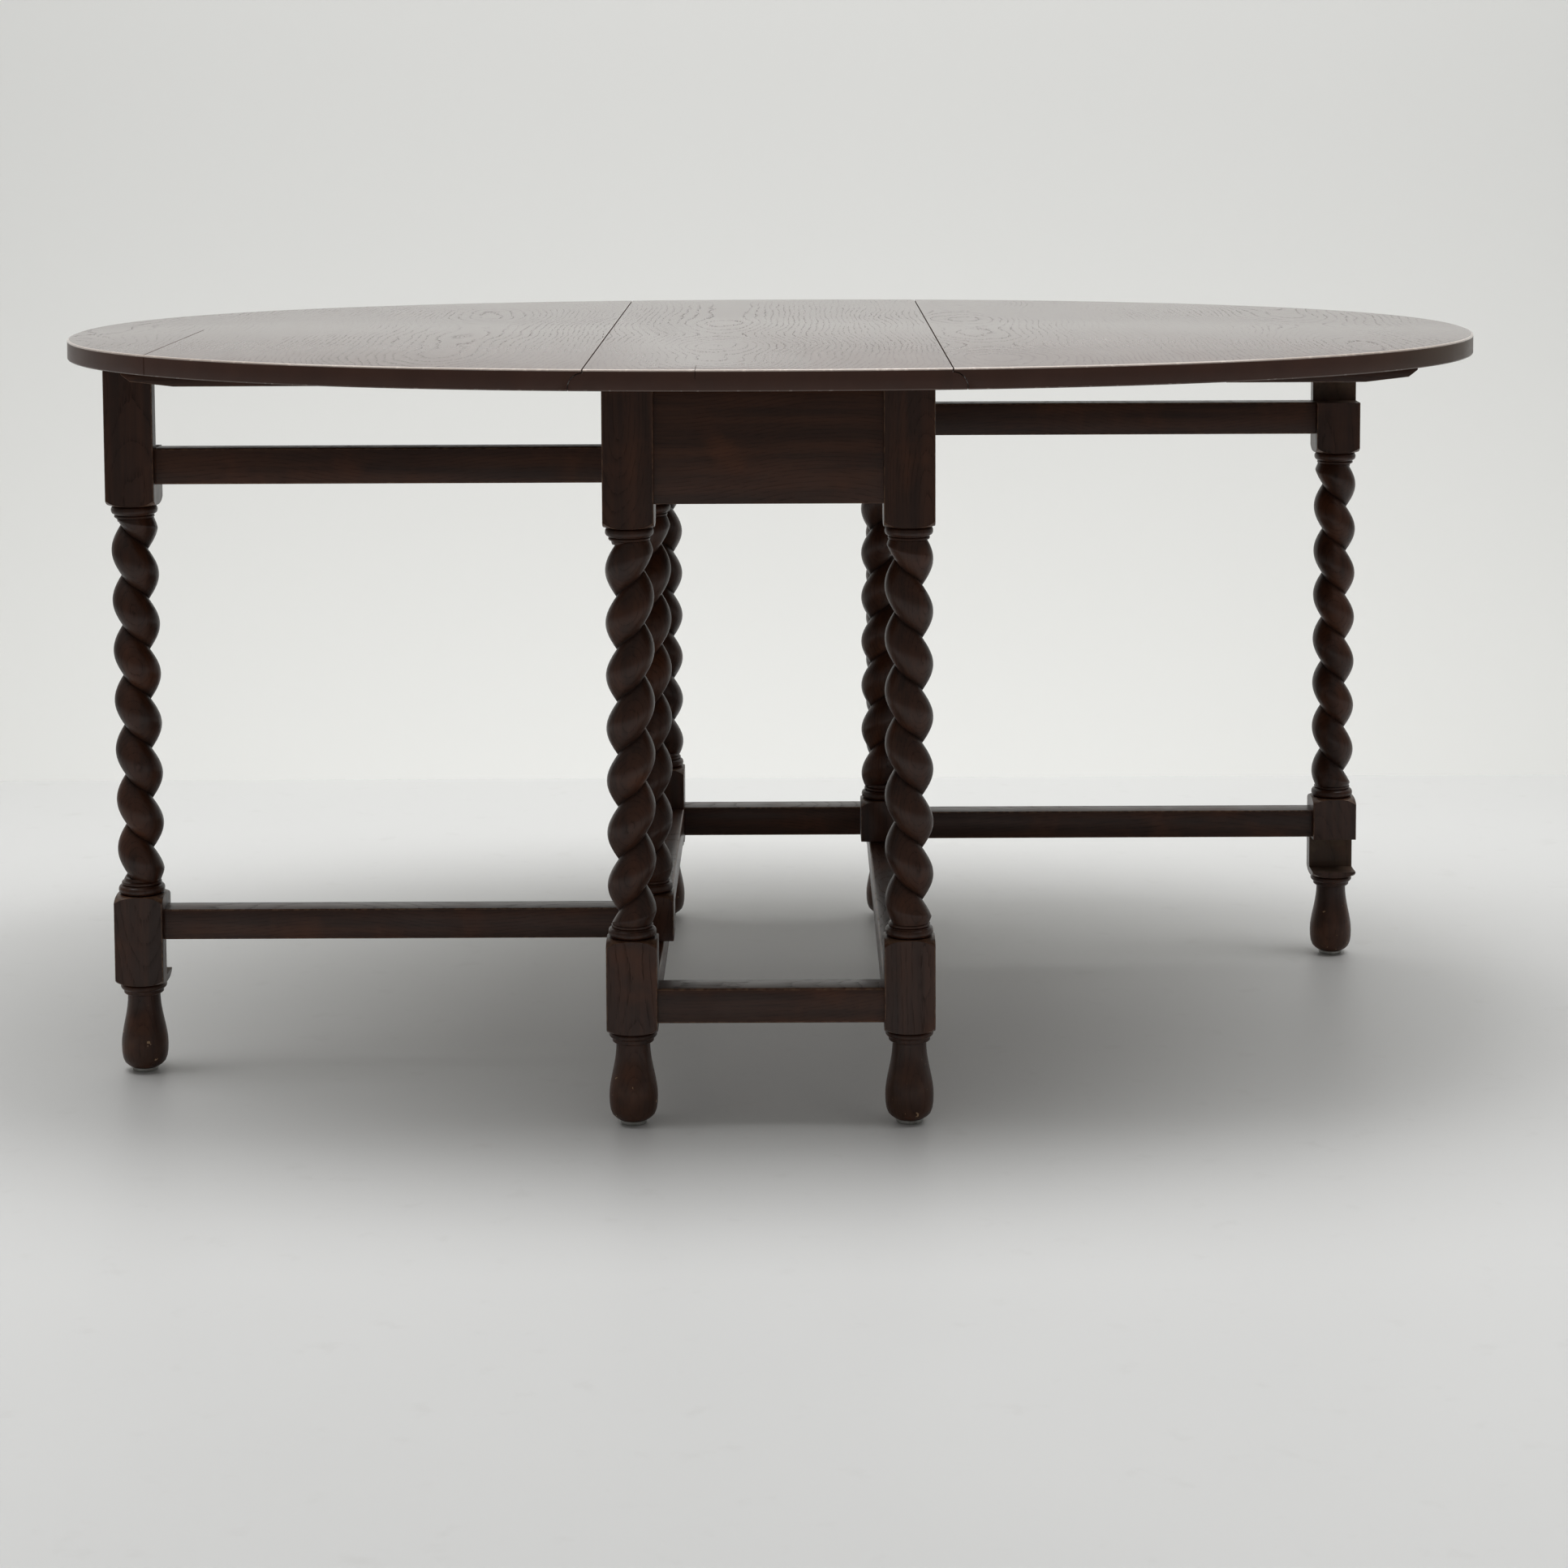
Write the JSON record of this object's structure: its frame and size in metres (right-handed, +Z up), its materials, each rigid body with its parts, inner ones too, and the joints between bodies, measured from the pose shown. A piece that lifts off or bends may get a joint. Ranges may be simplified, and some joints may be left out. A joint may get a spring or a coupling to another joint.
{
  "type": "gateleg table",
  "caption": "Oval-topped table with two leaves on rule joints, held up by two swinging gate legs; barley-twist legs and posts, square blocks, box stretchers.",
  "frame": {"origin": "on the floor, under the middle of the open oval top", "axes": "+Z up; +X along the long axis of the open top, towards the leaf called right; +Y along the centre board, towards the end called back"},
  "size_m": [1.484, 1, 0.74],
  "materials": {
    "top_oak": "stained dark oak, satin polish",
    "frame_oak": "stained dark oak, waxed, worn on the arrises",
    "hinge_iron": "dark iron",
    "glide_nickel": "dull nickel"
  },
  "bodies": {
    "frame": {"end_apron_back": "frame_oak", "end_apron_front": "frame_oak", "end_stretcher_back": "frame_oak", "end_stretcher_front": "frame_oak", "glide_back_left": "glide_nickel", "glide_back_right": "glide_nickel", "glide_front_left": "glide_nickel", "glide_front_right": "glide_nickel", "glue_block_left_a": "frame_oak", "glue_block_left_b": "frame_oak", "glue_block_right_a": "frame_oak", "glue_block_right_b": "frame_oak", "hinge_left_a_centre_flap": "hinge_iron", "hinge_left_a_pin": "hinge_iron", "hinge_left_b_centre_flap": "hinge_iron", "hinge_left_b_pin": "hinge_iron", "hinge_right_a_centre_flap": "hinge_iron", "hinge_right_a_pin": "hinge_iron", "hinge_right_b_centre_flap": "hinge_iron", "hinge_right_b_pin": "hinge_iron", "leg_back_left": "frame_oak", "leg_back_right": "frame_oak", "leg_front_left": "frame_oak", "leg_front_right": "frame_oak", "side_apron_left": "frame_oak", "side_apron_right": "frame_oak", "side_stretcher_left": "frame_oak", "side_stretcher_right": "frame_oak", "top_centre_board": "top_oak"},
    "gate_left": {"gate_leg_left": "frame_oak", "gate_lower_pivot_pin_left": "hinge_iron", "gate_lower_rail_left": "frame_oak", "gate_pivot_post_left": "frame_oak", "gate_upper_pivot_pin_left": "hinge_iron", "gate_upper_rail_left": "frame_oak", "glide_gate_left": "glide_nickel"},
    "gate_right": {"gate_leg_right": "frame_oak", "gate_lower_pivot_pin_right": "hinge_iron", "gate_lower_rail_right": "frame_oak", "gate_pivot_post_right": "frame_oak", "gate_upper_pivot_pin_right": "hinge_iron", "gate_upper_rail_right": "frame_oak", "glide_gate_right": "glide_nickel"},
    "leaf_left": {"hinge_left_a_leaf_flap": "hinge_iron", "hinge_left_b_leaf_flap": "hinge_iron", "leaf_cleat_left": "top_oak", "leaf_left": "top_oak", "leaf_stop_batten_left": "top_oak"},
    "leaf_right": {"hinge_right_a_leaf_flap": "hinge_iron", "hinge_right_b_leaf_flap": "hinge_iron", "leaf_cleat_right": "top_oak", "leaf_right": "top_oak", "leaf_stop_batten_right": "top_oak"}
  },
  "joints": [
    {"name": "gate_left_swing", "type": "hinge", "parent": "frame", "child": "gate_left", "pos_m": [-0.124, -0.21987, 0], "axis": [0, 0, 1], "range_deg": [-90, 0]},
    {"name": "gate_right_swing", "type": "hinge", "parent": "frame", "child": "gate_right", "pos_m": [0.124, 0.21987, 0], "axis": [0, 0, 1], "range_deg": [-90, 0]},
    {"name": "leaf_left_lift", "type": "hinge", "parent": "frame", "child": "leaf_left", "pos_m": [-0.171, 0, 0.722], "axis": [0, 1, 0], "range_deg": [0, 3]},
    {"name": "leaf_right_lift", "type": "hinge", "parent": "frame", "child": "leaf_right", "pos_m": [0.171, 0, 0.722], "axis": [0, -1, 0], "range_deg": [0, 3]}
  ]
}
